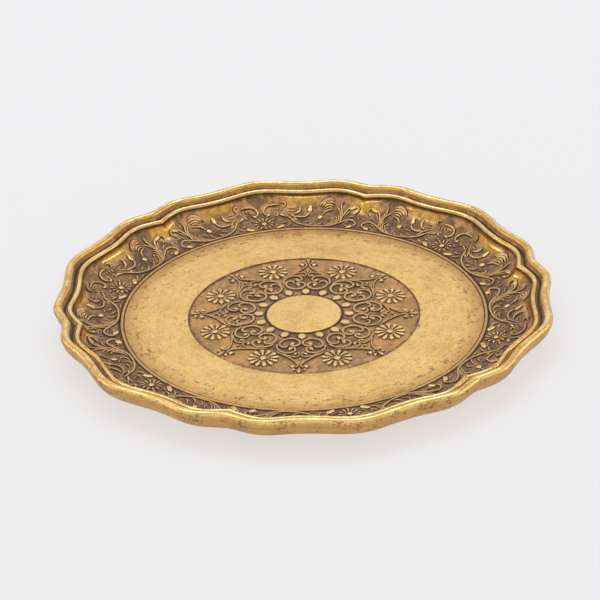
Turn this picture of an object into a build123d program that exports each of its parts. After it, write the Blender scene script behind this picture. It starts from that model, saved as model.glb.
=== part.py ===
"""Candle plate: a round moulded plate with a scalloped rim, a relief medallion and felt pads.

The origin is on the table, under the plate's centre. +Z is up, and +X runs through a main lobe
of the rim and a finial of the medallion. Sizes are in millimetres and angles in degrees.
"""
import os
from math import cos, radians, sin, sqrt

from build123d import *

# Rim outline, seen from above: main lobes, with two troughs, two side lobes and a notch between
plate_diameter = 330.0
lobe_count = 6
trough_angle = 12.5
trough_drop = 5.2
side_lobe_angle = 22.3
side_lobe_drop = 2.1
notch_drop = 5.7

# Heights
pad_thickness = 1.5
wall = 3.0
rim_rise = 18.3
cove_rise = 13.0

# Mouldings of the rim, measured inwards from the outline, with a V groove between roll and bead
roll_radius = 3.0
groove_width = 2.6
groove_drop = 5.0
bead_width = 3.6
bead_drop = 3.1
fold_depth = 2.0

# Lower edge of the roll, where the underside begins, and the round base
edge_drop = 5.3
edge_inset = 1.0
base_diameter = 236.0

# Section lines of the two hollows, as shares of the way out from the foot
underside_shares = (0.0, 0.6, 0.9, 1.0)
cove_shares = (1.0, 0.9, 0.7, 0.4)

# Flat, with a fine ring bead round it
flat_diameter = 238.6
ring_bead_width = 2.0
ring_bead_height = 0.7

# Stem that scrolls along the cove on both sides of each main lobe, a ridge with a sunk foot. Its
# corners are angles from the lobe's axis and shares of the way up the cove.
stem_width = 2.8
stem_height = 1.1
stem_sink = 0.6
stem_slope = 65.0
stem_corners = (
    (8.6, 0.4),
    (11.5, 0.17),
    (15.5, 0.07),
    (20.0, 0.08),
    (23.5, 0.27),
    (27.0, 0.37),
    (28.8, 0.2),
)

# Medallion: a sunk ground round a plain disc, with ornament that rises to the flat
medallion_diameter = 152.0
medallion_depth = 0.8
disc_diameter = 48.8

# Dots round the disc, many-sided like the bosses of the rosettes
dot_count = 16
dot_diameter = 5.6
dot_gap = 2.4
dot_sides = 8

# Rosettes, one between each two finials
rosette_count = 8
rosette_diameter = 20.0
rosette_margin = 4.8
rosette_boss_diameter = 4.3
petal_count = 12
petal_width = 2.9
petal_gap = 1.5

# Scrolls on both sides of each finial, traced along many-sided arcs: a C-scroll that ends in two
# volutes, a crook over it and the arm of a lyre. The middle of an arc lies out along the finial's
# axis and across from it, its ends are angles from that axis, and its steps are its straight runs.
scroll_width = 1.9
c_scroll_out = 39.2
c_scroll_across = 7.5
c_scroll_radius = 6.3
c_scroll_ends = (270.0, 75.0)
c_scroll_steps = 4
volute_radius = 2.7
volute_sweep = 150.0
volute_steps = 2
crook_out = 43.7
crook_across = 8.9
crook_radius = 6.8
crook_ends = (-65.0, 125.0)
crook_steps = 5
lyre_out = 78.0
lyre_across = 31.1
lyre_radius = 32.4
lyre_ends = (212.0, 248.0)
lyre_steps = 3

# Felt pads
pad_count = 4
pad_diameter = 22.0
pad_sides = 20
pad_circle = 190.0

# Derived places
flat_top = pad_thickness + wall
crest = flat_top + rim_rise
groove_outer = 2 * roll_radius
bead_outer = groove_outer + groove_width
bead_inner = bead_outer + bead_width
cove_foot = (flat_diameter + ring_bead_width) / 2
medallion_floor = flat_top - medallion_depth
dot_circle = disc_diameter / 2 + dot_gap + dot_diameter / 2
rosette_circle = (medallion_diameter - rosette_diameter) / 2 - rosette_margin
unit_angle = 360 / lobe_count


def polar(radius: float, angle: float) -> tuple[float, float]:
    """Point at a radius and an angle from +X."""
    return radius * cos(radians(angle)), radius * sin(radians(angle))


def rim_stations(fold: float) -> list[tuple[float, float]]:
    """Angle and radius of each turning point of the scalloped outline, once round."""
    main_lobe = plate_diameter / 2
    stations = []
    for unit in range(lobe_count):
        start = unit * unit_angle
        finish = start + unit_angle
        stations.append((start, main_lobe))
        stations.append((start + trough_angle, main_lobe - trough_drop))
        stations.append((start + side_lobe_angle, main_lobe - side_lobe_drop))
        stations.append((start + unit_angle / 2, main_lobe - notch_drop - fold))
        stations.append((finish - side_lobe_angle, main_lobe - side_lobe_drop))
        stations.append((finish - trough_angle, main_lobe - trough_drop))
    return stations


def rim_ring(height: float, inset: float, fold: float = 0.0, core: float = 0.0, share: float = 1.0):
    """Closed face that follows the rim, or blends to a circle of radius core as share falls to 0."""
    points = []
    for angle, radius in rim_stations(fold):
        points.append(polar(core + share * (radius - inset - core), angle))
    square_to_x = [(0, 1), (0, 1)]
    with BuildSketch(Plane.XY.offset(height)) as ring:
        with BuildLine():
            Spline(*points, points[0], tangents=square_to_x, tangent_scalars=[1, 1])
        make_face()
    return ring.sketch


def hollow(share: float) -> float:
    """Rise of a quarter ellipse, from 0 at its foot to 1 at its upright end."""
    return 1 - sqrt(1 - share * share)


def plate_rings() -> list:
    """Section lines of the plate, from the edge of the base round the rim to the edge of the flat."""
    edge = crest - edge_drop
    rings = []
    # Underside, hollow like the cove above it, up to the roll
    for share in underside_shares:
        height = pad_thickness + (edge - pad_thickness) * hollow(share)
        rings.append(rim_ring(height, edge_inset, core=base_diameter / 2, share=share))
    # Roll
    roll_centre = crest - roll_radius
    diagonal = roll_radius * sqrt(0.5)
    rings.append(rim_ring(roll_centre, 0))
    rings.append(rim_ring(roll_centre + diagonal, roll_radius - diagonal))
    rings.append(rim_ring(crest, roll_radius))
    rings.append(rim_ring(roll_centre + diagonal, roll_radius + diagonal))
    # Groove and inner bead, which folds inwards at each notch
    rings.append(rim_ring(crest - groove_drop, (groove_outer + bead_outer) / 2, fold_depth / 2))
    rings.append(rim_ring(crest - bead_drop, (bead_outer + bead_inner) / 2, fold_depth))
    # Cove, down to the outer foot of the ring bead
    for share in cove_shares:
        height = flat_top + cove_rise * hollow(share)
        rings.append(rim_ring(height, bead_inner, fold_depth * share, core=cove_foot, share=share))
    # Ring bead
    for step, rise in ((0.5, 0.0), (0.0, 1.0), (-0.5, 0.0)):
        radius = flat_diameter / 2 + step * ring_bead_width
        rings.append(rim_ring(flat_top + rise * ring_bead_height, 0, core=radius, share=0))
    return rings


def stem_corner(angle: float, share: float) -> tuple[float, float, float]:
    """Point on the cove at an angle and a share of the way up, for the outline's mean radius."""
    mean_radius = (plate_diameter - trough_drop) / 2
    reach = cove_foot + share * (mean_radius - bead_inner - cove_foot)
    return *polar(reach, angle), flat_top + cove_rise * hollow(share)


def stem_ridge():
    """Ridge of one stem, swept along its corners."""
    with BuildPart() as ridge:
        with BuildLine():
            route = Polyline(*(stem_corner(angle, share) for angle, share in stem_corners))
        ahead = route % 0
        with BuildSketch(Plane(route @ 0, x_dir=Vector(0, 0, 1).cross(ahead), z_dir=ahead)):
            with Locations((0, (stem_height - stem_sink) / 2)):
                Trapezoid(stem_width, stem_height + stem_sink, stem_slope)
        sweep(transition=Transition.RIGHT)
    return ridge.part


def petal_face():
    """Outline of one petal that points along +X from the rosette's centre."""
    tip = rosette_diameter / 2
    root = rosette_boss_diameter / 2 + petal_gap
    half = petal_width / 2
    with BuildSketch() as petal:
        with BuildLine():
            Polyline(
                (root, 0),
                (tip - half, -half),
                (tip, -half / 2),
                (tip, half / 2),
                (tip - half, half),
                close=True,
            )
        make_face()
    return petal.sketch


def arc_corners(out: float, across: float, radius: float, start: float, finish: float, steps: int) -> list:
    """Corners of a many-sided arc about a place out along +X and across from it."""
    corners = []
    for step in range(steps + 1):
        reach, side = polar(radius, start + (finish - start) * step / steps)
        corners.append((out + reach, across + side))
    return corners


def c_scroll_corners() -> list:
    """Corners of the C-scroll, from the inside of one volute to the inside of the other."""
    first, last = c_scroll_ends
    corners = []
    for turn, start, finish in ((first, first + volute_sweep, first), (last, last, last - volute_sweep)):
        reach, side = polar(c_scroll_radius - volute_radius, turn)
        out = c_scroll_out + reach
        across = c_scroll_across + side
        corners.append(arc_corners(out, across, volute_radius, start, finish, volute_steps))
    body = arc_corners(c_scroll_out, c_scroll_across, c_scroll_radius, first, last, c_scroll_steps)
    return corners[0] + body[1:-1] + corners[1]


def scrolls_face():
    """Scrolls on both sides of a finial that points along +X."""
    crook = arc_corners(crook_out, crook_across, crook_radius, *crook_ends, crook_steps)
    lyre = arc_corners(lyre_out, lyre_across, lyre_radius, *lyre_ends, lyre_steps)
    with BuildSketch() as scrolls:
        for corners in (c_scroll_corners(), crook, lyre):
            with BuildLine():
                Polyline(*corners)
            trace(line_width=scroll_width)
        mirror(about=Plane.XZ)
    return scrolls.sketch


# Plate
with BuildPart() as plate:
    loft(plate_rings(), ruled=True)
    # Stems of the frieze
    stem = stem_ridge()
    with PolarLocations(0, lobe_count):
        add(stem)
        add(mirror(stem, about=Plane.XZ, mode=Mode.PRIVATE))
    # Sunk ground of the medallion, round the plain disc
    with BuildSketch(Plane.XY.offset(flat_top)):
        Circle(medallion_diameter / 2)
        Circle(disc_diameter / 2, mode=Mode.SUBTRACT)
    extrude(amount=-medallion_depth, mode=Mode.SUBTRACT)
    # Dots, scrolls and rosettes
    with BuildSketch(Plane.XY.offset(medallion_floor)):
        with PolarLocations(dot_circle, dot_count):
            RegularPolygon(dot_diameter / 2, dot_sides)
        with PolarLocations(0, rosette_count):
            add(scrolls_face())
        with PolarLocations(rosette_circle, rosette_count, start_angle=180 / rosette_count):
            RegularPolygon(rosette_boss_diameter / 2, dot_sides)
            with PolarLocations(0, petal_count):
                add(petal_face())
    extrude(amount=medallion_depth)
plate.part.label = "plate"

os.makedirs("parts", exist_ok=True)
export_step(plate.part, "parts/plate.step")

# Felt pads, glued to the underside between the main lobes
for number in range(pad_count):
    with BuildPart() as felt_pad:
        with BuildSketch():
            with Locations(polar(pad_circle / 2, (number + 0.5) * 360 / pad_count)):
                RegularPolygon(pad_diameter / 2, pad_sides)
        extrude(amount=pad_thickness)
    felt_pad.part.label = f"felt_pad_{number + 1}"
    export_step(felt_pad.part, f"parts/{felt_pad.part.label}.step")
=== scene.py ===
"""Candle plate in antique gilt: scalloped rim, scroll frieze and rosette medallion, on a pale floor.

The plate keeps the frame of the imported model: metres, the origin on the table under the plate's
centre, +Z up and +X through a main lobe of the rim and a finial of the medallion. Sizes of the
plate are written in millimetres and turned into metres where a mesh is made.
"""

import logging
from collections.abc import Callable
from dataclasses import dataclass, field
from enum import Enum
from math import asin, cos, pi, radians, sin
from typing import Any

import bmesh
import bpy
from mathutils import Matrix, Vector

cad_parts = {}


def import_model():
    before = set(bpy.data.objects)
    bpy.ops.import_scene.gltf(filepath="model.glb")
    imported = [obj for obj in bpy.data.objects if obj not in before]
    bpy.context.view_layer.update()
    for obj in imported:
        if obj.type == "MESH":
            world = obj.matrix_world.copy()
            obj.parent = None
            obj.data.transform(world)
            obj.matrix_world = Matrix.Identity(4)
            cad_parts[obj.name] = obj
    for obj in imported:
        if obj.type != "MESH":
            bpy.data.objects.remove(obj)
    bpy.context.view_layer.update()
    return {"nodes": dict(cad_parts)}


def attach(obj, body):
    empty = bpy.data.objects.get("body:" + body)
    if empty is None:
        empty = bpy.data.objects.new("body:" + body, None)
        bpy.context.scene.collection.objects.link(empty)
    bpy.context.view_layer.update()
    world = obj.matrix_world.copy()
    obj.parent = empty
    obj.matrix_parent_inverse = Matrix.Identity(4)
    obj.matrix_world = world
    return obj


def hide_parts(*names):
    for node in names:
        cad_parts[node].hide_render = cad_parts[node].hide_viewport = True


MM = 0.001
FULL_TURN = 2 * pi
BODY = "root"

Piece = bpy.types.Object
Finish = bpy.types.Material
Colour = tuple[float, float, float, float]
Span = tuple[float, float]
Places = list[tuple[float, float]]

log = logging.getLogger("candle_plate")


def add_object(name: str, data: bpy.types.ID) -> Piece:
    """Put a new object with the given data in the scene."""
    thing = bpy.data.objects.new(name, data)
    bpy.context.collection.objects.link(thing)
    return thing


def math_method(operation: str, swapped: bool = False) -> Callable[..., "Wire"]:
    """Make a method that adds a Math node.

    Args:
        operation: The node's operation.
        swapped: Whether the other value comes first.

    Returns:
        The method. It takes the other value, a wire or a number, where there is one.
    """

    def method(wire: "Wire", *others: Any) -> "Wire":
        """Add the node and give its result."""
        values = (*others, wire) if swapped else (wire, *others)
        return wire.graph.node("ShaderNodeMath", {"operation": operation}, dict(enumerate(values)))

    return method


class Wire:
    """A node socket that takes part in Python expressions: each operator adds a Math node."""

    def __init__(self, graph: "Graph", socket: bpy.types.NodeSocket | None) -> None:
        """Wrap an output socket of a graph, or None for a node without one."""
        self.graph = graph
        self.socket = socket

    __add__ = __radd__ = math_method("ADD")
    __mul__ = __rmul__ = math_method("MULTIPLY")
    __sub__ = math_method("SUBTRACT")
    __rsub__ = math_method("SUBTRACT", swapped=True)
    __truediv__ = math_method("DIVIDE")
    __rtruediv__ = math_method("DIVIDE", swapped=True)
    __pow__ = math_method("POWER")
    __mod__ = math_method("FLOORED_MODULO")
    __abs__ = math_method("ABSOLUTE")
    least = math_method("MINIMUM")
    most = math_method("MAXIMUM")
    root = math_method("SQRT")
    floor = math_method("FLOOR")
    sine = math_method("SINE")
    cosine = math_method("COSINE")
    exponent = math_method("EXPONENT")

    def ease(self, low: float, high: float) -> "Wire":
        """Soft step from 0 at a low value to 1 at a high one."""
        settings = {"interpolation_type": "SMOOTHSTEP"}
        return self.graph.node("ShaderNodeMapRange", settings, {"Value": self, 1: low, 2: high})


class Graph:
    """A node tree under construction."""

    def __init__(self, tree: bpy.types.NodeTree) -> None:
        """Take an empty shader or geometry tree to fill."""
        self.tree = tree

    def node(
        self,
        kind: str,
        settings: dict[str, Any] | None = None,
        sockets: dict[str | int, Any] | None = None,
        result: str | int = 0,
    ) -> Wire:
        """Add a node: its settings first, then the values or links of its sockets.

        Args:
            kind: The node's type.
            settings: Its settings, by name.
            sockets: Its inputs by name or number, wires or plain values.
            result: The output that is wanted.

        Returns:
            That output.
        """
        node = self.tree.nodes.new(kind)
        for name, value in (settings or {}).items():
            setattr(node, name, value)
        for key, value in (sockets or {}).items():
            if isinstance(value, Wire):
                self.tree.links.new(value.socket, node.inputs[key])
            else:
                node.inputs[key].default_value = value
        return Wire(self, node.outputs[result] if node.outputs else None)

    def other(self, wire: Wire, result: str | int) -> Wire:
        """Another output of the node that a wire comes from."""
        return Wire(self, wire.socket.node.outputs[result])

    def vector(self, **parts: Any) -> Wire:
        """A vector from its X, Y and Z."""
        return self.node("ShaderNodeCombineXYZ", sockets=parts)


class Noise(Enum):
    """Noises over the object's own coordinates: waves per metre, and octaves."""

    CLOUD = (38.0, 4.0)
    RUB = (120.0, 5.0)
    MAT = (180.0, 3.0)
    STREAK = (260.0, 4.0)
    FLECK = (620.0, 2.0)
    GRAIN = (800.0, 3.0)
    FIBRE = (900.0, 6.0)


class RoundNoise(Enum):
    """Noises that run round the plate: waves per metre, octaves, and how much finer across."""

    SWEEPS = (60.0, 4.0, 12.0)
    MARKS = (150.0, 4.0, 2.5)


class ShaderGraph(Graph):
    """A material's or the world's nodes."""

    noise_roughness = 0.6
    round_radius = 0.1
    calm_middle = (0.06, 0.08)

    def __init__(self, owner: Finish | bpy.types.World) -> None:
        """Empty the tree of a material or a world, to fill it."""
        owner.use_nodes = True
        owner.node_tree.nodes.clear()
        super().__init__(owner.node_tree)

    def attribute(self, label: str) -> Wire:
        """A number that the surface carries under a name."""
        return self.node("ShaderNodeAttribute", {"attribute_name": label}, result="Fac")

    def _noise_at(self, place: Wire, scale: float, detail: float) -> Wire:
        """Noise at a place, about 0.5."""
        sockets = {"Vector": place, "Scale": scale, "Detail": detail, "Roughness": self.noise_roughness}
        return self.node("ShaderNodeTexNoise", {"noise_type": "FBM"}, sockets)

    def noise(self, kind: Noise) -> Wire:
        """Noise over the object's own coordinates, about 0.5."""
        place = self.node("ShaderNodeTexCoord", result="Object")
        return self._noise_at(place, *kind.value)

    def round_noise(self, kind: RoundNoise) -> Wire:
        """Noise about 0.5 that runs round the plate, as marks of polishing do, and is even in its middle."""
        scale, detail, across = kind.value
        place = self.node("ShaderNodeTexCoord", result="Object")
        aside = self.node("ShaderNodeSeparateXYZ", sockets={"Vector": place}, result="X")
        ahead = self.other(aside, "Y")
        reach = (aside * aside + ahead * ahead).root().most(MM)
        radius = self.round_radius
        spot = self.vector(X=aside / reach * radius, Y=ahead / reach * radius, Z=reach * across)
        noise = self._noise_at(spot, scale, detail)
        return 0.5 + (noise - 0.5) * reach.ease(*self.calm_middle)

    def blend(self, factor: Wire, low: Wire | Colour, high: Wire | Colour) -> Wire:
        """Mix of two colours, by the share of the second."""
        settings = {"data_type": "RGBA", "blend_type": "MIX"}
        return self.node("ShaderNodeMix", settings, {0: factor, 6: low, 7: high}, result=2)

    def bump(self, height: Wire, strength: float, depth: float) -> Wire:
        """A normal that follows a height, with a strength and a depth in metres."""
        sockets = {"Strength": strength, "Distance": depth, "Height": height}
        return self.node("ShaderNodeBump", sockets=sockets)

    def close(self, sockets: dict[str, Any]) -> None:
        """End a material in a Principled BSDF with the given inputs."""
        surface = self.node("ShaderNodeBsdfPrincipled", sockets=sockets)
        self.node("ShaderNodeOutputMaterial", sockets={"Surface": surface})


class GeometryGraph(Graph):
    """A geometry tree with named inputs, which ends in Realize Instances and Set Material."""

    socket_kinds = {
        Piece: "NodeSocketObject",
        Finish: "NodeSocketMaterial",
        int: "NodeSocketInt",
        float: "NodeSocketFloat",
    }

    def __init__(self, name: str, values: dict[str, Any]) -> None:
        """Start a tree.

        Args:
            name: The tree's name.
            values: The values of its inputs, by name; each input's type follows from its value.
        """
        super().__init__(bpy.data.node_groups.new(name, "GeometryNodeTree"))
        self.values = values
        face = self.tree.interface
        face.new_socket("Geometry", in_out="INPUT", socket_type="NodeSocketGeometry")
        for label, value in values.items():
            kind = next(kind for type_, kind in self.socket_kinds.items() if isinstance(value, type_))
            face.new_socket(label, in_out="INPUT", socket_type=kind)
        face.new_socket("Geometry", in_out="OUTPUT", socket_type="NodeSocketGeometry")
        self.source = self.tree.nodes.new("NodeGroupInput")

    def given(self, label: str) -> Wire:
        """A named input of the tree."""
        return Wire(self, self.source.outputs[label])

    def geometry_of(self, label: str) -> Wire:
        """The geometry of an object that is a named input."""
        sockets = {"Object": self.given(label)}
        return self.node("GeometryNodeObjectInfo", sockets=sockets, result="Geometry")

    def attribute(self, label: str) -> Wire:
        """A number that the geometry carries under a name."""
        return self.node("GeometryNodeInputNamedAttribute", {"data_type": "FLOAT"}, {"Name": label})

    def stored(self, geometry: Wire, label: str, value: Any) -> Wire:
        """The geometry with a number kept on its points under a name."""
        settings = {"data_type": "FLOAT", "domain": "POINT"}
        sockets = {"Geometry": geometry, "Name": label, "Value": value}
        return self.node("GeometryNodeStoreNamedAttribute", settings, sockets)

    def moved(self, geometry: Wire, place: Wire) -> Wire:
        """The geometry with its points at new places."""
        sockets = {"Geometry": geometry, "Position": place}
        return self.node("GeometryNodeSetPosition", sockets=sockets)

    def close(self, geometry: Wire) -> None:
        """End the tree with smooth, real faces in the given finish."""
        real = self.node("GeometryNodeRealizeInstances", sockets={"Geometry": geometry})
        smooth = self.node("GeometryNodeSetShadeSmooth", sockets={"Geometry": real})
        sockets = {"Geometry": smooth, "Material": self.given("Finish")}
        dressed = self.node("GeometryNodeSetMaterial", sockets=sockets)
        self.node("NodeGroupOutput", sockets={"Geometry": dressed})

    def run(self, holder: Piece, name: str) -> Piece:
        """Run the tree on an object and keep the result as a plain mesh.

        Args:
            holder: The object that carries the source geometry; it is removed.
            name: The name of the new piece.

        Returns:
            The new piece, at the origin.
        """
        modifier = holder.modifiers.new("form", "NODES")
        modifier.node_group = self.tree
        for item in self.tree.interface.items_tree:
            if item.in_out == "INPUT" and item.name in self.values:
                modifier[item.identifier] = self.values[item.name]
        seen = holder.evaluated_get(bpy.context.evaluated_depsgraph_get())
        mesh = bpy.data.meshes.new_from_object(seen)
        mesh.name = name
        holder.modifiers.remove(modifier)
        bpy.data.objects.remove(holder)
        return add_object(name, mesh)


def linear(red: int, green: int, blue: int) -> Colour:
    """Turn a display colour, 0 to 255, into the linear colour that sockets take."""
    shares = [channel / 255 for channel in (red, green, blue)]
    parts = [share / 12.92 if share <= 0.04045 else ((share + 0.055) / 1.055) ** 2.4 for share in shares]
    return parts[0], parts[1], parts[2], 1.0


class GiltMarks:
    """What the layers of the gilt share: the surface's attributes, and noises about 0.5.

    Patina is the glaze on the gold: below -1 is pale gold painted as a highlight, -0.5 polished, 0 plain
    gold, 1 glazed and 1.4 a crevice. Raised is 1 on the relief. Burnish, 0 to 1, is where the cove is
    polished.
    """

    def __init__(self, graph: ShaderGraph) -> None:
        """Read the attributes and add the noises to a material."""
        self.patina = graph.attribute("patina")
        self.raised = graph.attribute("raised")
        self.burnish = graph.attribute("burnish")
        self.cloud = graph.noise(Noise.CLOUD)
        self.rub = graph.noise(Noise.RUB)
        self.streak = graph.noise(Noise.STREAK)
        self.fleck = graph.noise(Noise.FLECK)
        self.grain = graph.noise(Noise.GRAIN)
        self.round_marks = graph.round_noise(RoundNoise.MARKS)
        self.sweeps = graph.round_noise(RoundNoise.SWEEPS)

    def uneven(self, value: Wire, by_rub: float, by_grain: float) -> Wire:
        """A value made uneven by the rubbed and grainy noises."""
        return value + (self.grain - 0.5) * by_grain + (self.rub - 0.5) * by_rub


@dataclass(frozen=True)
class AntiqueGilt:
    """Gold leaf colour over a cast body, polished in places, with a brown glaze left in the hollows.

    A span is where one look gives way to the next, along the noise or attribute that it's named for.
    """

    gold: Colour = linear(239, 201, 126)
    pale_gold: Colour = linear(230, 198, 148)
    deep_gold: Colour = linear(200, 156, 90)
    polished: Colour = linear(200, 146, 58)
    glint: Colour = linear(234, 194, 112)
    # Pale gold painted as a highlight on the crests of the bead and the roll
    painted_highlight: Colour = linear(248, 222, 164)
    glaze: Colour = linear(124, 94, 66)
    dark_glaze: Colour = linear(94, 66, 40)
    crevice: Colour = linear(62, 40, 20)
    bronze: Colour = linear(174, 136, 98)
    amber: Colour = linear(202, 152, 98)
    speckle: Colour = linear(136, 98, 58)
    tone_span: Span = (0.36, 0.56)
    aged_span: Span = (0.1, 0.32)
    aged_share: float = 0.7
    pale_share: float = 0.45
    burnish_span: Span = (0.08, 0.95)
    burnish_shine_span: Span = (0.0, 0.4)
    shine_span: Span = (0.1, 0.7)
    glint_span: Span = (0.42, 0.66)
    painted_highlight_span: Span = (0.9, 1.6)
    speck_span: Span = (0.5, 0.6)
    speck_cloud_span: Span = (0.44, 0.66)
    speck_cloud_share: float = 0.6
    speck_edge_start: Span = (0.0, 0.16)
    speck_edge_end: Span = (0.3, 0.44)
    speck_share: float = 0.85
    thick_glaze_span: Span = (0.5, 1.0)
    worn_span: Span = (0.42, 0.56)
    worn_limit: float = 0.9
    blotch_span: Span = (0.43, 0.57)
    brown_span: Span = (0.6, 0.85)
    crevice_span: Span = (0.95, 1.4)
    hidden_span: Span = (0.15, 0.65)
    gold_roughness: float = 0.38
    polished_roughness: float = 0.1
    glaze_roughness: float = 0.55
    uneven_roughness: float = 0.25
    metal: float = 0.85
    glaze_metal_loss: float = 0.45
    bump_strength: float = 0.3
    bump_depth: float = 0.0003

    def _leaf(self, graph: ShaderGraph, marks: GiltMarks, shine: Wire) -> Wire:
        """Colour of the gold, polished by a share, with pale painted highlights on crests and with brown
        specks.
        """
        patina, cloud, rub, streak, grain = marks.patina, marks.cloud, marks.rub, marks.streak, marks.grain
        tone = (cloud * 0.3 + rub * 0.2 + marks.sweeps * 0.2 + grain * 0.3).ease(*self.tone_span)
        tone = tone * (1.0 - patina.ease(*self.aged_span) * (1.0 - marks.raised) * self.aged_share)
        gold = graph.blend(tone, self.deep_gold, self.gold)
        gold = graph.blend(marks.raised * self.pale_share, gold, self.pale_gold)
        glinting = (streak * 0.5 + grain * 0.5).ease(*self.glint_span)
        bright = graph.blend(glinting, self.polished, self.glint)
        # Pale gold painted as a highlight where the patina is well below zero
        highlight_share = marks.uneven(0.0 - patina, 1.4, 0.5).ease(*self.painted_highlight_span)
        bright = graph.blend(highlight_share, bright, self.painted_highlight)
        gold = graph.blend(shine, gold, bright)
        edge = patina.ease(*self.speck_edge_start) - patina.ease(*self.speck_edge_end)
        spread = (cloud.ease(*self.speck_cloud_span) * self.speck_cloud_share + edge).least(1.0)
        specks = (marks.fleck * 0.3 + streak * 0.3 + marks.round_marks * 0.4).ease(*self.speck_span)
        return graph.blend(specks * spread * (1.0 - shine) * self.speck_share, gold, self.speckle)

    def _glazing(self, graph: ShaderGraph, marks: GiltMarks, thick: Wire) -> Wire:
        """Colour of the glaze, dark where it is thick and worn to bronze and amber where it is thin."""
        patina, rub = marks.patina, marks.rub
        glaze = graph.blend(thick, self.glaze, self.dark_glaze)
        worn = (rub * 0.35 + marks.streak * 0.45 + marks.grain * 0.2).ease(*self.worn_span)
        worn = worn * (1.75 - patina * 1.5).most(0.0)
        blotch = (rub * 0.6 + marks.cloud * 0.4).ease(*self.blotch_span)
        bronze = graph.blend(blotch * (1.0 - patina.ease(*self.brown_span)), self.bronze, self.amber)
        glaze = graph.blend((worn * (0.5 + blotch)).least(self.worn_limit), glaze, bronze)
        return graph.blend(patina.ease(*self.crevice_span), glaze, self.crevice)

    def material(self) -> Finish:
        """Build the finish.

        Returns:
            The material, which reads the attributes patina, raised and burnish.
        """
        material = bpy.data.materials.new("antique_gilt")
        graph = ShaderGraph(material)
        marks = GiltMarks(graph)
        patina, rub, grain = marks.patina, marks.rub, marks.grain
        burnish = marks.burnish * (0.8 + rub * 0.4) + (grain - 0.5) * 0.2
        burnish = burnish.ease(*self.burnish_span)
        shine = marks.uneven(0.0 - patina, 0.8, 0.4).ease(*self.shine_span)
        shine = shine.most(burnish.ease(*self.burnish_shine_span))
        hidden = marks.uneven(patina, 0.8, 0.5).ease(*self.hidden_span) * (1.0 - burnish)
        thick = patina.ease(*self.thick_glaze_span)
        colour = graph.blend(hidden, self._leaf(graph, marks, shine), self._glazing(graph, marks, thick))
        roughness = (
            self.gold_roughness
            + (grain - 0.5) * self.uneven_roughness
            + hidden * (self.glaze_roughness - self.gold_roughness)
            - shine * (self.gold_roughness - self.polished_roughness)
        )
        height = grain * 0.6 + marks.cloud * 0.4 + marks.fleck * 0.3 + rub * hidden * 2.5
        graph.close({
            "Base Color": colour,
            "Roughness": roughness,
            "Metallic": self.metal - thick * (1.0 - burnish) * self.glaze_metal_loss,
            "Normal": graph.bump(height, self.bump_strength, self.bump_depth),
        })
        return material


@dataclass(frozen=True)
class PressedFelt:
    """Dark brown felt of the pads."""

    light: Colour = linear(84, 66, 52)
    dark: Colour = linear(48, 37, 30)
    light_span: Span = (0.3, 0.7)
    roughness: float = 0.95
    sheen: float = 0.3
    bump_strength: float = 0.6
    bump_depth: float = 0.0004

    def material(self) -> Finish:
        """Build the material, with matted fibres."""
        material = bpy.data.materials.new("pressed_felt")
        graph = ShaderGraph(material)
        fibre = graph.noise(Noise.FIBRE)
        light = (fibre * 0.7 + graph.noise(Noise.MAT) * 0.3).ease(*self.light_span)
        graph.close({
            "Base Color": graph.blend(light, self.dark, self.light),
            "Roughness": self.roughness,
            "Sheen Weight": self.sheen,
            "Normal": graph.bump(fibre, self.bump_strength, self.bump_depth),
        })
        return material


class Zone(Enum):
    """How much glaze each zone of the plate keeps, from pale gold painted as a highlight to a full crease.
    """

    # Pale gold painted as a highlight, on the crests of the bead and the roll
    GLEAMING = -1.3
    POLISHED = -0.8
    BARE = 0.0
    CREST = 0.1
    # Glaze of the outer wall and the underside, which is also painted shade there
    AGED = 0.3
    WORN = 0.35
    RUBBED = 0.5
    FOOT = 0.75
    HOLLOW = 0.9
    CREASE = 1.4


Bands = tuple[tuple[int, Zone], ...]


def zone_at(bands: Bands, step: int) -> Zone:
    """The zone of the last band that starts at or before a step."""
    return [zone for start, zone in bands if start <= step][-1]


@dataclass(frozen=True)
class Station:
    """A point of the plate's section.

    The radius at any angle is share times the scalloped outline, plus reach, less the fold. The
    climb is how far up the cove the point lies, which says where the glaze is polished off.
    """

    reach: float
    height: float
    share: float
    fold: float
    zone: Zone
    climb: float = 0.0


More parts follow.
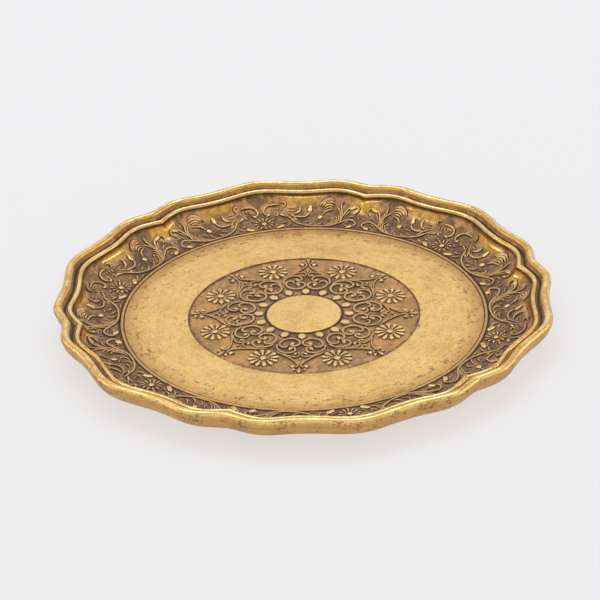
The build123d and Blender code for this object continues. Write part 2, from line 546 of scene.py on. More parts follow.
@dataclass
class PlateBody:
    """The plate itself: flat, cove, double-moulded rim and underside.

    Sizes are in millimetres and angles in degrees. Bands are the zones of a moulding, each with the
    step where it starts.
    """

    mean_radius: float = 161.5
    lobes: tuple[float, ...] = (0.92, 1.03, 1.66, -0.54, 0.26)
    lobe_count: int = 6
    columns: int = 600
    weld: float = 0.01
    fold_reach: float = 1.8
    fold_depth: float = 2.4
    bead_fold_loss: float = 0.03
    groove_folds: Span = (0.6, 0.2)
    roll_fold_share: float = 0.2
    base_height: float = 1.5
    flat_height: float = 4.5
    ground_depth: float = 0.8
    disc_radius: float = 24.4
    medallion_radius: float = 76.0
    brim_drop: float = 0.06
    ring_radius: float = 119.3
    ring_half: float = 1.0
    ring_rise: float = 0.7
    ring_turns: int = 6
    ring_bands: Bands = ((0, Zone.RUBBED), (2, Zone.WORN), (5, Zone.RUBBED))
    cove_rise: float = 13.0
    cove_steps: int = 20
    cove_bands: Bands = ((0, Zone.CREASE), (1, Zone.HOLLOW), (20, Zone.CREASE))
    bead_inner: float = 12.2
    bead_radius: float = 1.8
    bead_rise: float = 15.2
    bead_turns: int = 10
    # The bead's crest is pale gold painted as a highlight, and its inner foot keeps glaze as painted shade
    # under the bead
    bead_bands: Bands = (
        (0, Zone.WORN), (2, Zone.POLISHED), (3, Zone.GLEAMING), (7, Zone.POLISHED), (9, Zone.WORN),
    )
    groove_floor: float = 13.3
    roll_radius: float = 3.0
    rim_rise: float = 18.3
    roll_turns: int = 24
    # The roll's crest is pale gold painted as a highlight; its outer side keeps glaze that is also painted
    # shade
    roll_bands: Bands = (
        (0, Zone.WORN), (4, Zone.CREST), (5, Zone.POLISHED), (7, Zone.GLEAMING), (12, Zone.POLISHED),
        (13, Zone.CREST), (16, Zone.AGED),
    )
    edge_inset: float = 1.0
    edge_rise: float = 13.0
    base_radius: float = 118.0
    underside_steps: int = 20
    # More glaze towards the base: the underside darkens downwards, as painted shade as well as age
    underside_bands: Bands = ((0, Zone.RUBBED), (16, Zone.WORN), (18, Zone.AGED))
    # Polished places of the cove: angles from the lobe's axis, and shares of the way up
    trough_start: Span = (2.0, 10.0)
    trough_end: Span = (13.5, 23.0)
    trough_climb: Span = (0.7, 0.98)
    trough_share: float = 0.8
    notch_start: Span = (22.5, 29.5)
    notch_climb: Span = (0.5, 0.95)
    # No polish just under the bead, so the glaze there stays dark as painted shade under the bead
    painted_shade_under_bead: Span = (0.985, 0.999)
    # Thinner glaze high in the cove
    thin_start: Span = (0.5, 0.9)
    thin_end: Span = (0.98, 0.995)
    thin_by: float = 0.26
    stations: list[Station] = field(default_factory=list)

    def ring(self, radius: float, rise: float, zone: Zone) -> None:
        """Add a round station at a radius and a height above the flat."""
        self.stations.append(Station(radius, self.flat_height + rise, 0.0, 0.0, zone))

    def rim(self, inset: float, rise: float, zone: Zone, fold: float) -> None:
        """Add a station that follows the outline at an inset and a height above the flat."""
        self.stations.append(Station(-inset, self.flat_height + rise, 1.0, fold, zone))

    def lay_out(self) -> None:
        """List the stations from the top's centre, over the rim, to the centre of the base."""
        self.stations.clear()
        self._middle()
        self._cove()
        self._mouldings()
        self._underside()

    def _middle(self) -> None:
        """Plain disc, sunk medallion ground, flat and ring bead."""
        ground = -self.ground_depth
        wall = ground * 0.4
        brim = -self.brim_drop
        disc = self.disc_radius
        border = self.medallion_radius
        edge = self.ring_radius - self.ring_half
        sunk = border - disc
        flat = edge - border
        for radius, rise, zone in (
            (0.0, 0.0, Zone.BARE),
            (disc * 0.5, 0.0, Zone.BARE),
            (disc - 0.8, 0.0, Zone.BARE),
            (disc - 0.3, brim, Zone.CREST),
            (disc, wall, Zone.WORN),
            (disc + 0.2, ground, Zone.CREASE),
            (disc + 1.0, ground, Zone.CREASE),
            *((disc + share * sunk, ground, Zone.FOOT) for share in (0.05, 0.2, 0.4, 0.52)),
            *((disc + share * sunk, ground, Zone.RUBBED) for share in (0.66, 0.8, 0.94)),
            (border - 1.0, ground, Zone.FOOT),
            (border - 0.4, ground, Zone.CREASE),
            (border - 0.1, wall, Zone.FOOT),
            (border + 0.2, brim, Zone.WORN),
            (border + 0.7, 0.0, Zone.CREST),
            (border + 5.0, 0.0, Zone.BARE),
            *((border + share * flat, 0.0, Zone.BARE) for share in (0.15, 0.5, 0.7)),
            (edge - 12.0, 0.0, Zone.CREST),
            (edge - 0.9, 0.0, Zone.WORN),
            (edge - 0.4, -0.05, Zone.CREASE),
            (edge, 0.0, Zone.CREASE),
        ):
            self.ring(radius, rise, zone)
        for turn in range(1, self.ring_turns):
            angle = pi * turn / self.ring_turns
            radius = self.ring_radius - self.ring_half * cos(angle)
            self.ring(radius, self.ring_rise * sin(angle), zone_at(self.ring_bands, turn))

    @staticmethod
    def _hollow(turn: float, foot: float, inset: float) -> tuple[float, float, float]:
        """Share of the outline, reach and rise, at a part of the way up a quarter ellipse."""
        share = sin(0.5 * pi * turn)
        return share, foot * (1 - share) - inset * share, 1 - cos(0.5 * pi * turn)

    def _cove(self) -> None:
        """Hollow moulding, a quarter ellipse from the ring bead up to the inner bead."""
        foot = self.ring_radius + self.ring_half
        for step in range(self.cove_steps + 1):
            share, reach, rise = self._hollow(step / self.cove_steps, foot, self.bead_inner)
            height = self.flat_height + self.cove_rise * rise
            fold = self.fold_depth * share * share
            zone = zone_at(self.cove_bands, step)
            self.stations.append(Station(reach, height, share, fold, zone, share))

    def _mouldings(self) -> None:
        """Inner bead, groove and roll of the rim."""
        centre = self.bead_inner - self.bead_radius
        springing = self.bead_rise - self.bead_radius
        fold = self.fold_depth
        for turn in range(self.bead_turns + 1):
            angle = pi * turn / self.bead_turns
            inset = centre + self.bead_radius * cos(angle)
            rise = springing + self.bead_radius * sin(angle)
            self.rim(inset, rise, zone_at(self.bead_bands, turn), fold * (1 - self.bead_fold_loss * turn))
        inner = centre - self.bead_radius
        width = 2 * self.roll_radius - inner
        first_fold, last_fold = self.groove_folds
        for share, rise, zone in (
            (0.12, 0.1, Zone.FOOT), (0.3, 0.0, Zone.CREASE), (0.7, 0.0, Zone.CREASE), (0.92, 0.1, Zone.FOOT),
        ):
            folded = first_fold + share * (last_fold - first_fold)
            self.rim(inner + share * width, self.groove_floor + rise, zone, fold * folded)
        middle = self.rim_rise - self.roll_radius
        lowest = asin((middle - self.edge_rise) / self.roll_radius)
        for turn in range(self.roll_turns + 1):
            angle = (pi + lowest) * turn / self.roll_turns
            inset = self.roll_radius * (1 + cos(angle))
            rise = middle + self.roll_radius * sin(angle)
            self.rim(inset, rise, zone_at(self.roll_bands, turn), self.roll_fold_share * fold)

    def _underside(self) -> None:
        """Hollow underside, from the roll down to the flat base."""
        tall = self.flat_height + self.edge_rise - self.base_height
        foot, steps = self.base_radius, self.underside_steps
        for step in range(steps - 1, -1, -1):
            share, reach, rise = self._hollow(step / steps, foot, self.edge_inset)
            height = self.base_height + tall * rise
            fold = self.roll_fold_share * self.fold_depth * share
            self.stations.append(Station(reach, height, share, fold, zone_at(self.underside_bands, step)))
        for share in (0.985, 0.6, 0.3, 0.0):
            self.stations.append(Station(share * foot, self.base_height, 0.0, 0.0, Zone.CREST))

    def _section(self) -> Piece:
        """Hold the stations as points that the tree samples, with their numbers as attributes."""
        mesh = bpy.data.meshes.new("section")
        points = [(station.reach * MM, 0.0, station.height * MM) for station in self.stations]
        mesh.from_pydata(points, [], [])
        numbers = {
            "share": [station.share for station in self.stations],
            "fold": [station.fold * MM for station in self.stations],
            "patina": [station.zone.value for station in self.stations],
            "climb": [station.climb for station in self.stations],
        }
        for label, values in numbers.items():
            mesh.attributes.new(label, "FLOAT", "POINT").data.foreach_set("value", values)
        return add_object("section", mesh)

    def _tree(self, values: dict[str, Any]) -> GeometryGraph:
        """Lathe that turns the section round while its radius follows the scalloped outline."""
        graph = GeometryGraph("scalloped_lathe", values)
        section = graph.geometry_of("Section")
        points = graph.given("Points")
        columns = graph.given("Columns")
        index = graph.node("GeometryNodeInputIndex")
        row = index % points
        turn = (index / points).floor() / columns
        angle = turn * FULL_TURN
        unit = turn * graph.given("Lobe Count")

        outline = graph.given("Mean Radius")
        for order in range(1, len(self.lobes) + 1):
            outline = outline + (unit * (FULL_TURN * order)).cosine() * graph.given(f"Lobe {order}")
        off_notch = abs(unit % 1.0 - 0.5) * 360.0 / graph.given("Lobe Count")
        off_axis = 180.0 / graph.given("Lobe Count") - off_notch
        fold = (0.0 - off_notch / graph.given("Fold Reach")).exponent()

        def sampled(value: Wire, kind: str = "FLOAT") -> Wire:
            """Value of the section at this row."""
            settings = {"data_type": kind, "domain": "POINT"}
            sockets = {"Geometry": section, "Value": value, "Index": row}
            return graph.node("GeometryNodeSampleIndex", settings, sockets)

        place = sampled(graph.node("GeometryNodeInputPosition"), "FLOAT_VECTOR")
        reach = graph.node("ShaderNodeSeparateXYZ", sockets={"Vector": place}, result="X")
        height = graph.other(reach, "Z")
        share = sampled(graph.attribute("share"))
        radius = outline * share + reach - fold * sampled(graph.attribute("fold"))
        spot = graph.vector(X=radius * angle.cosine(), Y=radius * angle.sine(), Z=height)

        climb = sampled(graph.attribute("climb"))
        thin = climb.ease(*self.thin_start) - climb.ease(*self.thin_end)
        trough = off_axis.ease(*self.trough_start) - off_axis.ease(*self.trough_end)
        trough = trough * climb.ease(*self.trough_climb) * self.trough_share
        notch = off_axis.ease(*self.notch_start) * climb.ease(*self.notch_climb)
        # The glaze stays unpolished just under the bead, as painted shade beneath it
        burnish = (trough + notch) * (1.0 - climb.ease(*self.painted_shade_under_bead))
        patina = sampled(graph.attribute("patina")) - thin * self.thin_by
        size = {"Vertices X": columns + 1, "Vertices Y": points}
        grid = graph.node("GeometryNodeMeshGrid", sockets=size)
        toned = graph.stored(graph.stored(grid, "patina", patina), "burnish", burnish)
        joined = {"Geometry": graph.moved(toned, spot), "Distance": self.weld * MM}
        closed = graph.node("GeometryNodeMergeByDistance", sockets=joined)
        graph.close(graph.node("GeometryNodeFlipFaces", sockets={"Mesh": closed}))
        return graph

    def build(self, finish: Finish) -> Piece:
        """Make the body.

        Args:
            finish: The material.

        Returns:
            The finished piece.
        """
        self.lay_out()
        section = self._section()
        holder = add_object("body_holder", bpy.data.meshes.new("body_holder"))
        values = {
            "Section": section,
            "Points": len(self.stations),
            "Columns": self.columns,
            "Mean Radius": self.mean_radius * MM,
            "Lobe Count": self.lobe_count,
            "Fold Reach": self.fold_reach,
            "Finish": finish,
        }
        values |= {f"Lobe {order}": size * MM for order, size in enumerate(self.lobes, 1)}
        body = self._tree(values).run(holder, "plate_body")
        bpy.data.objects.remove(section)
        return body


class Tip(Enum):
    """Width of a stroke's end, as a share of its full width."""

    FULL = 1.0
    SLIM = 0.55
    FINE = 0.25


@dataclass(frozen=True)
class Stroke:
    """A raised line, bud or petal of the relief, along a smooth curve. Sizes in millimetres."""

    points: tuple[tuple[float, float], ...]
    width: float = 1.3
    head: Tip = Tip.FULL
    tail: Tip = Tip.FULL

    def mirrored(self) -> "Stroke":
        """The same stroke on the other side of the unit's axis."""
        flipped = tuple((-across, out) for across, out in self.points)
        return Stroke(flipped, self.width, self.head, self.tail)


def bud(
    across: float, out: float, width: float, length: float, lean: float, head: Tip = Tip.FULL
) -> Stroke:
    """Round or drop-shaped bud.

    Args:
        across: Its centre across the unit.
        out: Its centre's distance out.
        width: Its full width.
        length: Its length.
        lean: The direction of its tail end, in degrees from outwards.
        head: The width of its other end.

    Returns:
        The stroke that makes it.
    """
    half = length / 2
    aside, ahead = half * sin(radians(lean)), half * cos(radians(lean))
    return Stroke(((across - aside, out - ahead), (across + aside, out + ahead)), width, head)


FULL, SLIM, FINE = Tip.FULL, Tip.SLIM, Tip.FINE

# Half a unit of the frieze: angles from the unit's axis, in degrees, and radii in millimetres
FRIEZE_STROKES = (
    Stroke(
        (
            (6.6, 139.4), (8.6, 132.2), (10.0, 127.5), (12.4, 123.9), (14.8, 122.3), (17.6, 121.8),
            (20.0, 122.5), (22.0, 124.6), (24.0, 128.2), (25.8, 130.8), (27.2, 131.5), (28.4, 129.6),
            (28.9, 126.8), (28.3, 124.6),
        ),
        1.4, FINE,
    ),
    bud(27.2, 123.8, 2.9, 3.7, 30),
    Stroke(((7.0, 140.8), (9.4, 134.6), (10.6, 130.3)), 1.2, FINE, FINE),
    bud(9.9, 130.8, 1.7, 3.2, -25, FINE),
    bud(6.4, 136.2, 1.8, 3.6, -35, SLIM),
    # Rosette's leaves
    Stroke(((5.6, 128.3), (6.8, 128.7), (7.6, 130.6)), 1.2, FULL, FINE),
    bud(6.0, 130.9, 1.4, 1.6, 0),
    Stroke(((6.4, 123.2), (8.0, 125.1), (8.6, 128.4)), 1.3, FINE, FINE),
    bud(5.0, 123.8, 2.8, 4.5, 35),
    Stroke(((3.0, 124.6), (4.0, 126.1), (5.3, 126.3)), 1.0, FINE, FINE),
    bud(3.3, 133.4, 1.4, 1.7, 30),
    Stroke(((8.7, 122.0), (10.2, 122.6), (11.3, 121.9)), 1.0, FINE, FINE),
    # Drop on its stalk, and the leaf beside it
    Stroke(((9.6, 134.8), (10.8, 133.6), (12.8, 133.6), (14.0, 136.2), (14.3, 138.2)), 1.4, SLIM, SLIM),
    bud(14.4, 140.5, 3.3, 5.6, 184, SLIM),
    Stroke(((9.5, 136.9), (10.8, 137.9), (11.5, 140.8), (11.2, 143.8)), 1.6, SLIM, FINE),
    Stroke(((7.7, 142.1), (9.0, 142.0), (10.3, 141.4)), 1.0, FINE, FINE),
    Stroke(((7.6, 139.7), (8.8, 139.7), (9.9, 139.1)), 1.0, FINE, FINE),
    # C-scroll over the rosette
    Stroke(
        (
            (2.0, 137.9), (1.0, 139.8), (1.2, 144.1), (2.2, 146.2), (4.0, 146.4), (5.6, 145.8),
        ),
        1.4, SLIM, SLIM,
    ),
    Stroke(((5.9, 147.2), (7.0, 146.7), (7.4, 144.8), (6.7, 143.4)), 1.4, SLIM, FINE),
    Stroke(((1.9, 138.2), (2.6, 139.0), (2.5, 140.4)), 1.1),
    bud(2.1, 138.1, 1.7, 2.0, 40),
    Stroke(((3.2, 144.2), (3.2, 142.4)), 1.0),
    Stroke(((4.1, 144.4), (4.1, 142.0)), 1.2),
    Stroke(((5.0, 143.9), (5.0, 141.4)), 1.2),
    Stroke(((5.9, 143.2), (5.9, 140.4)), 1.2),
    Stroke(((4.0, 139.6), (4.9, 138.4), (4.7, 136.9), (3.9, 136.9)), 1.1, FINE, SLIM),
    # Fan of tendrils
    Stroke(((18.6, 122.7), (20.2, 124.6), (21.4, 128.4), (21.7, 131.0), (21.2, 132.2)), 1.2, FINE, SLIM),
    bud(21.0, 132.0, 1.6, 1.8, 0),
    Stroke(((20.1, 122.9), (21.3, 125.0), (22.4, 129.3), (22.5, 132.9), (21.8, 135.0)), 1.2, FINE, SLIM),
    Stroke(((21.6, 124.6), (22.6, 127.2), (23.2, 131.2), (23.0, 135.0), (22.3, 136.8)), 1.1, FINE, FINE),
    Stroke(
        (
            (23.3, 127.0), (24.0, 131.5), (23.9, 138.5), (23.3, 143.4), (23.3, 146.0), (23.8, 147.8),
        ),
        1.2, FINE, SLIM,
    ),
    Stroke(((23.6, 130.5), (23.6, 135.5), (23.0, 140.4), (21.8, 144.0)), 1.2, FINE, SLIM),
    # Ribbed leaf
    bud(17.4, 133.2, 3.0, 4.0, 10),
    Stroke(((17.9, 135.4), (19.0, 139.2), (20.2, 140.8), (21.8, 141.7)), 1.4, SLIM, FINE),
    Stroke(((17.0, 142.6), (17.6, 145.0), (18.6, 147.1), (20.0, 148.2), (21.4, 147.6)), 1.6, SLIM, SLIM),
    Stroke(((17.7, 142.9), (18.3, 144.7), (19.2, 146.1), (20.3, 146.6), (21.6, 145.7)), 1.6, SLIM, SLIM),
    Stroke(((18.3, 142.2), (19.0, 143.9), (20.0, 144.7), (21.3, 143.9)), 1.5, SLIM, SLIM),
    Stroke(((18.7, 140.9), (19.4, 142.4), (20.2, 142.9), (21.1, 142.4)), 1.3, SLIM, SLIM),
    # Bulb at the fold of the rim
    Stroke(
        (
            (24.0, 132.7), (24.6, 137.5), (25.4, 141.4), (26.6, 143.0), (28.0, 142.8), (28.7, 140.9),
            (27.9, 137.8),
        ),
        1.4, FINE, SLIM,
    ),
    Stroke(((24.8, 134.6), (25.5, 138.2), (26.3, 140.9)), 1.2, FINE, SLIM),
    bud(26.8, 142.1, 1.9, 2.4, 60),
    bud(27.7, 138.2, 1.7, 2.0, 20),
    Stroke(((25.6, 133.6), (26.6, 135.2), (27.8, 135.2)), 1.0, FINE, FINE),
    bud(29.2, 133.6, 1.5, 2.0, 0),
    # Small leaves and seeds between the stems
    Stroke(((13.6, 124.2), (15.0, 125.1), (15.8, 127.6)), 1.4, SLIM, FINE),
    Stroke(((12.2, 127.6), (13.4, 128.1), (14.0, 130.0)), 1.2, SLIM, FINE),
    Stroke(((13.4, 131.6), (14.4, 132.1), (15.2, 131.2)), 1.0, FINE, FINE),
    Stroke(((15.9, 123.6), (17.3, 124.6), (18.1, 127.2), (17.6, 129.0)), 1.0, FINE, SLIM),
    bud(19.3, 129.4, 1.3, 1.6, 20),
    bud(16.4, 130.2, 1.3, 1.5, -20),
    Stroke(((24.9, 126.8), (25.6, 128.6), (26.8, 129.0)), 1.0, FINE, SLIM),
    bud(25.9, 125.0, 1.3, 1.5, 40),
)

# Half a unit of the medallion: millimetres across the finial's axis, and out along it
MEDALLION_STROKES = (
    Stroke(
        (
            (5.6, 38.6), (6.7, 39.4), (6.3, 40.9), (4.2, 41.7), (2.1, 40.9), (1.0, 38.7),
            (1.4, 36.0), (3.1, 33.8), (6.2, 32.6), (9.5, 33.3), (12.2, 35.3), (13.7, 38.3),
            (13.7, 41.0), (12.5, 42.9), (10.6, 43.5), (9.0, 42.6), (8.6, 40.9),
        ),
        1.7, FULL, SLIM,
    ),
    bud(5.6, 38.8, 3.0, 3.4, 20),
    Stroke(
        (
            (6.8, 45.3), (6.2, 43.7), (4.6, 44.0), (3.5, 46.4), (4.3, 48.8), (6.4, 50.3),
            (8.9, 50.6), (11.6, 49.6), (13.9, 47.4), (15.3, 44.5), (15.5, 41.5), (14.7, 38.7),
        ),
        1.6, FULL, FINE,
    ),
    bud(6.6, 45.2, 2.9, 3.4, 40),
    Stroke(
        (
            (16.4, 46.8), (13.8, 50.6), (11.0, 53.0), (7.8, 55.7), (5.4, 58.2), (3.1, 61.1),
            (1.6, 63.8), (1.0, 66.0), (1.7, 67.8), (3.3, 68.0),
        ),
        1.3, SLIM, FULL,
    ),
    bud(4.2, 66.8, 3.2, 3.6, 20),
    Stroke(
        (
            (3.2, 51.6), (1.9, 50.2), (0.95, 51.7), (0.8, 53.6), (1.9, 55.1), (4.3, 55.5),
            (7.0, 54.5), (10.6, 52.3), (13.7, 49.6),
        ),
        1.2, FULL, FINE,
    ),
    bud(3.2, 51.5, 2.3, 2.6, 30),
    bud(3.4, 70.8, 2.5, 2.9, 60),
)

# Strokes on the finial's own axis
FINIAL_STROKES = (bud(0.0, 71.3, 3.2, 6.4, 0, FINE), bud(0.0, 57.8, 2.0, 2.4, 0))


@dataclass
class Relief:
    """Raised ornament that repeats round the plate and lies on its surface, edged with glaze.

    The section of a stroke is a dome on a low skirt. Its shares run from 0 at the foot to 1 at the
    top. Sizes are in millimetres and angles in degrees.
    """

    name: str
    units: int
    crest: float
    wear: float = 0.32
    polish: float = 0.5
    skirt: float = 1.5
    steepness: float = 1.5
    spacing: float = 0.6
    sides: int = 11
    sky: float = 60.0
    curve_steps: int = 16
    arc_start: float = 160.0
    arc_sweep: float = 220.0
    thinnest_end: float = 0.004
    dome_span: Span = (0.3, 0.95)
    skirt_span: Span = (-0.1, 0.4)
    skirt_rise: float = 0.1
    sink: float = 0.07
    broad_span: Span = (0.6, 1.4)
    bare_span: Span = (0.5, 1.0)

    def tree(self, values: dict[str, Any]) -> GeometryGraph:
        """Tree that sweeps the strokes of one unit, lays them on the plate and repeats them round it."""
        graph = GeometryGraph(f"{self.name}_tree", values)
        source = {"Curve": graph.given("Geometry"), "Length": graph.given("Spacing")}
        curve = graph.node("GeometryNodeResampleCurve", {"mode": "LENGTH"}, source)
        half = graph.node("GeometryNodeInputRadius")
        length = graph.node("GeometryNodeSplineLength")
        run = graph.node("GeometryNodeSplineParameter", result="Length")
        to_end = run.least(length - run) / half
        rounding = (1.0 - (1.0 - to_end.least(1.0)) ** 2.0).most(self.thinnest_end).root()
        curve = graph.stored(curve, "half_width", half * rounding)
        half_width = graph.attribute("half_width")
        arc = {"Resolution": graph.given("Sides"), "Radius": graph.given("Skirt"), "Connect Center": True}
        arc |= {"Start Angle": radians(self.arc_start), "Sweep Angle": radians(self.arc_sweep)}
        profile = graph.node("GeometryNodeCurveArc", {"mode": "RADIUS"}, arc)
        curve = graph.node("GeometryNodeSetCurveNormal", {"mode": "Z_UP"}, {"Curve": curve})
        sweep = {"Curve": curve, "Profile Curve": profile, "Scale": half_width, "Fill Caps": True}
        mesh = graph.node("GeometryNodeCurveToMesh", sockets=sweep)

        place = graph.node("GeometryNodeInputPosition")
        across = graph.node("ShaderNodeSeparateXYZ", sockets={"Vector": place}, result="X")
        along = graph.other(across, "Y")
        share = graph.other(across, "Z") / half_width / graph.given("Skirt")
        relief = (half_width * graph.given("Steepness")).least(graph.given("Crest"))
        dome = share.ease(*self.dome_span) + share.ease(*self.skirt_span) * self.skirt_rise
        broad = (half_width / MM).ease(*self.broad_span)
        top = graph.given("Wear") - broad * graph.given("Polish")
        glaze = Zone.CREASE.value
        mesh = graph.stored(mesh, "patina", glaze - share.ease(*self.bare_span) * (glaze - top))
        mesh = graph.stored(mesh, "raised", 1.0)
        ray = {
            "Target Geometry": graph.geometry_of("Plate"),
            "Source Position": graph.vector(X=across, Y=along, Z=graph.given("Sky")),
            "Ray Direction": (0.0, 0.0, -1.0),
            "Ray Length": 1.0,
        }
        hit = graph.node("GeometryNodeRaycast", sockets=ray, result="Hit Position")
        lift = {0: graph.other(hit, "Hit Normal"), "Scale": relief * (dome - self.sink)}
        lift = graph.node("ShaderNodeVectorMath", {"operation": "SCALE"}, lift)
        laid = graph.node("ShaderNodeVectorMath", {"operation": "ADD"}, {0: hit, 1: lift})

        unit = graph.node("GeometryNodeGeometryToInstance", sockets={"Geometry": graph.moved(mesh, laid)})
        copies = {"Geometry": unit, "Amount": graph.given("Units")}
        copies = graph.node("GeometryNodeDuplicateElements", {"domain": "INSTANCE"}, copies)
        turn = graph.other(copies, "Duplicate Index") * FULL_TURN / graph.given("Units")
        spread = {"Instances": copies, "Rotation": graph.vector(Z=turn), "Local Space": False}
        graph.close(graph.node("GeometryNodeRotateInstances", sockets=spread))
        return graph

    def strokes_object(self, strokes: list[tuple[Stroke, Places]]) -> Piece:
        """Hold strokes as smooth curves, seen from above, with their points in X and Y."""
        curve = bpy.data.curves.new(f"{self.name}_strokes", "CURVE")
        curve.dimensions = "3D"
        curve.resolution_u = self.curve_steps
        for stroke, places in strokes:
            spline = curve.splines.new("BEZIER")
            last = len(places) - 1
            spline.bezier_points.add(last)
            for number, (point, place) in enumerate(zip(spline.bezier_points, places)):
                point.co = (place[0] * MM, place[1] * MM, 0.0)
                point.handle_left_type = "AUTO"
                point.handle_right_type = "AUTO"
                tip = stroke.head if number == 0 else stroke.tail if number == last else Tip.FULL
                point.radius = stroke.width / 2 * tip.value * MM
        return add_object(curve.name, curve)

    def build(
        self, strokes: list[tuple[Stroke, Places]], plate: Piece, finish: Finish
    ) -> Piece:
        """Make the ornament.

        Args:
            strokes: The strokes of one unit, with their points in X and Y.
            plate: The plate that they lie on.
            finish: The material.

        Returns:
            The finished piece.
        """
        values: dict[str, Any] = {"Plate": plate, "Finish": finish}
        for label in ("units", "sides", "wear", "polish", "skirt", "steepness"):
            values[label.title()] = getattr(self, label)
        for label in ("crest", "spacing", "sky"):
            values[label.title()] = getattr(self, label) * MM
        return self.tree(values).run(self.strokes_object(strokes), self.name)


@dataclass(frozen=True)
class Rosette:
    """Drop-shaped petals round a boss. Sizes in millimetres."""

    reach: float
    start: float
    end: float
    width: float
    boss: float
    petals: int = 12

    def strokes(self, turn: float = 0.0) -> list[tuple[Stroke, Places]]:
        """Strokes of a rosette that lies out from the plate's centre.

        Args:
            turn: The direction in which it lies, in radians from +X.

        Returns:
            The boss and the petals, with their points in X and Y.
        """
        half = self.boss / 2
        strokes = [Stroke(((-half, 0.0), (half, 0.0)), self.boss)]
        for number in range(self.petals):
            angle = FULL_TURN * number / self.petals
            points = tuple((reach * cos(angle), reach * sin(angle)) for reach in (self.start, self.end))
            strokes.append(Stroke(points, self.width, FINE))
        placed = []
        for stroke in strokes:
            places = [(self.reach + x, y) for x, y in stroke.points]
            places = [(x * cos(turn) - y * sin(turn), x * sin(turn) + y * cos(turn)) for x, y in places]
            placed.append((stroke, places))
        return placed


@dataclass
class ScrollFrieze:
    """Scrolling stems, acanthus leaves, buds and small rosettes on the cove."""

    units: int = 6
    crest: float = 1.0
    strokes: tuple[Stroke, ...] = FRIEZE_STROKES
    rosette: Rosette = Rosette(128.9, 3.0, 7.0, 2.0, 3.6)

    def build(self, plate: Piece, finish: Finish) -> list[Piece]:
        """Make the scrolls and the rosettes.

        Args:
            plate: The plate that they lie on.
            finish: The material.

        Returns:
            The two finished pieces.
        """
        scrolls = []
        for stroke in self.strokes:
            for side in (stroke, stroke.mirrored()):
                turned = [(radians(angle), out) for angle, out in side.points]
                places = [(out * cos(angle), out * sin(angle)) for angle, out in turned]
                scrolls.append((side, places))
        scrolling = Relief("frieze_scrolls", self.units, self.crest, wear=0.38, polish=0.8, spacing=0.7)
        pieces = [scrolling.build(scrolls, plate, finish)]
        flowering = Relief("frieze_rosettes", self.units, self.crest, wear=0.4, spacing=0.5)
        pieces.append(flowering.build(self.rosette.strokes(), plate, finish))
        return pieces


@dataclass
class Medallion:
    """C-scrolls, lyres, finials, rosettes and dots on the sunk ground round the disc."""

    units: int = 8
    crest: float = 1.0
    strokes: tuple[Stroke, ...] = MEDALLION_STROKES
    finial: tuple[Stroke, ...] = FINIAL_STROKES
    dot_radius: float = 29.6
    dot_size: float = 6.2
    rosette: Rosette = Rosette(61.26, 3.4, 10.1, 3.5, 4.5)

    def build(self, plate: Piece, finish: Finish) -> list[Piece]:
        """Make the scrolls, the rosettes and the dots.

        Args:
            plate: The plate that they lie on.
            finish: The material.

        Returns:
            The three finished pieces.
        """
        scrolls = []
        for stroke in self.strokes:
            for side in (stroke, stroke.mirrored()):
                scrolls.append((side, [(out, across) for across, out in side.points]))
        for stroke in self.finial:
            scrolls.append((stroke, [(out, across) for across, out in stroke.points]))
        scrolling = Relief("medallion_scrolls", self.units, self.crest, wear=0.42, polish=0.2)
        pieces = [scrolling.build(scrolls, plate, finish)]

        between = pi / self.units
        flowering = Relief("medallion_rosettes", self.units, self.crest, polish=0.3)
        pieces.append(flowering.build(self.rosette.strokes(between), plate, finish))

        dots = []
        for angle in (0.0, between):
            ends = (self.dot_radius - self.dot_size / 2, self.dot_radius + self.dot_size / 2)
            places = [(reach * cos(angle), reach * sin(angle)) for reach in ends]
            dots.append((Stroke(tuple(places), self.dot_size), places))
        dotting = Relief(
            "medallion_dots", self.units, self.crest, polish=0.4, skirt=1.25, spacing=0.4, sides=21
        )
        pieces.append(dotting.build(dots, plate, finish))
        return pieces


@dataclass
class FeltPads:
    """Round pads with soft edges, glued under the base. Sizes in millimetres."""

    count: int = 4
    radius: float = 11.0
    thickness: float = 1.5
    softness: float = 0.45
    edge_steps: int = 4
    circle_radius: float = 95.0
    sides: int = 56

    def build(self, finish: Finish) -> list[Piece]:
        """Make the pads, each on its place between the main lobes.

        Args:
            finish: The material.

        Returns:
            The finished pads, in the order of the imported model's.
        """
        pads = []
        for number in range(self.count):
            angle = FULL_TURN * (number + 0.5) / self.count
            place = Vector((cos(angle), sin(angle), 0.0)) * self.circle_radius
            place.z = self.thickness / 2
            form = bmesh.new()
            bmesh.ops.create_cone(
                form,
                cap_ends=True,
                segments=self.sides,
                radius1=self.radius * MM,
                radius2=self.radius * MM,
                depth=self.thickness * MM,
                matrix=Matrix.Translation(place * MM),
            )
            brims = [edge for edge in form.edges if any(len(face.verts) > 4 for face in edge.link_faces)]
            bmesh.ops.bevel(
                form,
                geom=brims,
                offset=self.softness * MM,
                segments=self.edge_steps,
                profile=0.5,
                affect="EDGES",
            )
            bmesh.ops.poke(form, faces=[face for face in form.faces if len(face.verts) > 4])
            for face in form.faces:
                face.smooth = True
            mesh = bpy.data.meshes.new(f"soft_pad_{number + 1}")
            form.to_mesh(mesh)
            form.free()
            mesh.materials.append(finish)
            pads.append(add_object(mesh.name, mesh))
        return pads


@dataclass(frozen=True)
class Lamp:
    """A rectangular lamp that faces the plate. Angles are from the camera's right, in degrees."""

    name: str
    angle: float
    rise: float
    reach: float
    size: Span
    power: float


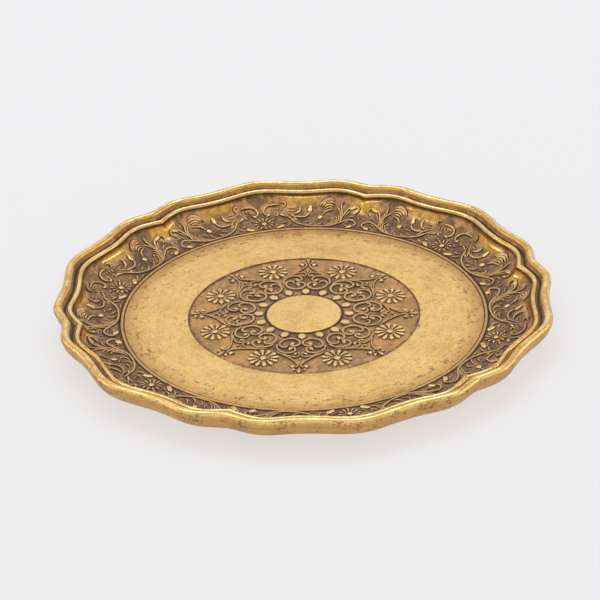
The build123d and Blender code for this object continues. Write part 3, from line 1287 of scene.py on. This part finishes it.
@dataclass
class Studio:
    """Pale floor, soft light and the photograph's camera.

    Lengths are in metres, those of the lens and the sensor in millimetres, and angles in degrees.
    """

    plate_height: float = 0.0045
    azimuth: float = -41.5
    elevation: float = 29.473
    roll: float = -1.894
    aside: float = 0.00261
    above: float = -0.0086
    distance: float = 1.4863
    lens: float = 135.99
    sensor: float = 36.0
    nearest: float = 0.05
    floor_half: float = 6.0
    # The floor glows though it is no lamp, lightening its shadow and the plate's underside; the warm glow
    # over a cooler scattered colour paints a warm bounce into the shadow
    floor_colour: Colour = linear(207, 232, 245)
    floor_light: Colour = linear(250, 240, 236)
    floor_glow: float = 0.7
    backdrop: Colour = linear(240, 240, 242)
    sky_light: float = 0.86
    lamps: tuple[Lamp, ...] = (
        Lamp("key", 100.0, 68.0, 3.0, (3.2, 0.9), 24.5),
        Lamp("front", -90.0, 16.0, 1.7, (1.6, 0.12), 2.0),
        Lamp("right", 8.0, 24.0, 1.7, (0.9, 0.16), 2.4),
        Lamp("left", 172.0, 24.0, 1.7, (0.9, 0.16), 2.4),
    )

    def place_camera(self) -> None:
        """Put the camera where the photograph was taken from."""
        pose = Matrix.Translation((0.0, 0.0, self.plate_height))
        for angle, axis in ((self.azimuth, "Z"), (90.0 - self.elevation, "X"), (self.roll, "Z")):
            pose = pose @ Matrix.Rotation(radians(angle), 4, axis)
        camera = add_object("camera", bpy.data.cameras.new("camera"))
        camera.data.lens = self.lens
        camera.data.sensor_width = self.sensor
        camera.data.clip_start = self.nearest
        camera.matrix_world = pose @ Matrix.Translation((-self.aside, -self.above, self.distance))
        bpy.context.scene.camera = camera

    def lay_floor(self) -> Piece:
        """Make the floor: it glows, which lightens its shadow, and its glow is warmer than the light it
        scatters, painting a warm bounce into the shadow.
        """
        mesh = bpy.data.meshes.new("floor")
        half = self.floor_half
        corners = [(-half, -half, 0.0), (half, -half, 0.0), (half, half, 0.0), (-half, half, 0.0)]
        mesh.from_pydata(corners, [], [(0, 1, 2, 3)])
        material = bpy.data.materials.new("pale_floor")
        graph = ShaderGraph(material)
        sheet = graph.node("ShaderNodeBsdfDiffuse", sockets={"Color": self.floor_colour})
        lit = graph.node("ShaderNodeEmission", sockets={"Color": self.floor_light})
        surface = graph.node("ShaderNodeMixShader", sockets={0: self.floor_glow, 1: sheet, 2: lit})
        graph.node("ShaderNodeOutputMaterial", sockets={"Surface": surface})
        mesh.materials.append(material)
        return add_object("floor", mesh)

    def light(self) -> None:
        """Light the plate softly, mainly from behind and above."""
        world = bpy.data.worlds.new("studio")
        graph = ShaderGraph(world)
        path = graph.node("ShaderNodeLightPath", result="Is Camera Ray")
        seen = path.most(graph.other(path, "Is Glossy Ray"))
        seen = seen.most(graph.other(path, "Is Transmission Ray"))
        strength = self.sky_light + seen * (1.0 - self.sky_light)
        sky = {"Color": self.backdrop, "Strength": strength}
        sky = graph.node("ShaderNodeBackground", sockets=sky)
        graph.node("ShaderNodeOutputWorld", sockets={"Surface": sky})
        bpy.context.scene.world = world
        for lamp in self.lamps:
            lit = bpy.data.lights.new(lamp.name, "AREA")
            lit.shape = "RECTANGLE"
            lit.size, lit.size_y = lamp.size
            lit.energy = lamp.power
            turn = radians(lamp.angle + self.azimuth)
            tilt = radians(lamp.rise)
            spot = Vector((cos(turn) * cos(tilt), sin(turn) * cos(tilt), sin(tilt))) * lamp.reach
            holder = add_object(lamp.name, lit)
            holder.location = spot
            holder.rotation_euler = spot.to_track_quat("Z", "Y").to_euler()
        bpy.context.scene.view_settings.view_transform = "Standard"


def main() -> None:
    """Build the plate and its studio, and report each piece."""
    logging.basicConfig(level=logging.INFO, format="%(message)s")
    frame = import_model()
    gilt = AntiqueGilt().material()
    felt = PressedFelt().material()

    body = PlateBody().build(gilt)
    reliefs = ScrollFrieze().build(body, gilt) + Medallion().build(body, gilt)
    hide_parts("plate")
    for piece in (body, *reliefs):
        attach(piece, BODY)
        piece.data.calc_loop_triangles()
        log.info("%s: %d triangles", piece.name, len(piece.data.loop_triangles))
    pad_nodes = sorted(name for name in frame["nodes"] if name.startswith("felt_pad"))
    for pad, node in zip(FeltPads().build(felt), pad_nodes, strict=True):
        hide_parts(node)
        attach(pad, BODY)
        log.info("%s: in pressed felt", pad.name)

    studio = Studio()
    studio.lay_floor()
    studio.light()
    studio.place_camera()


if __name__ == "__main__":
    main()
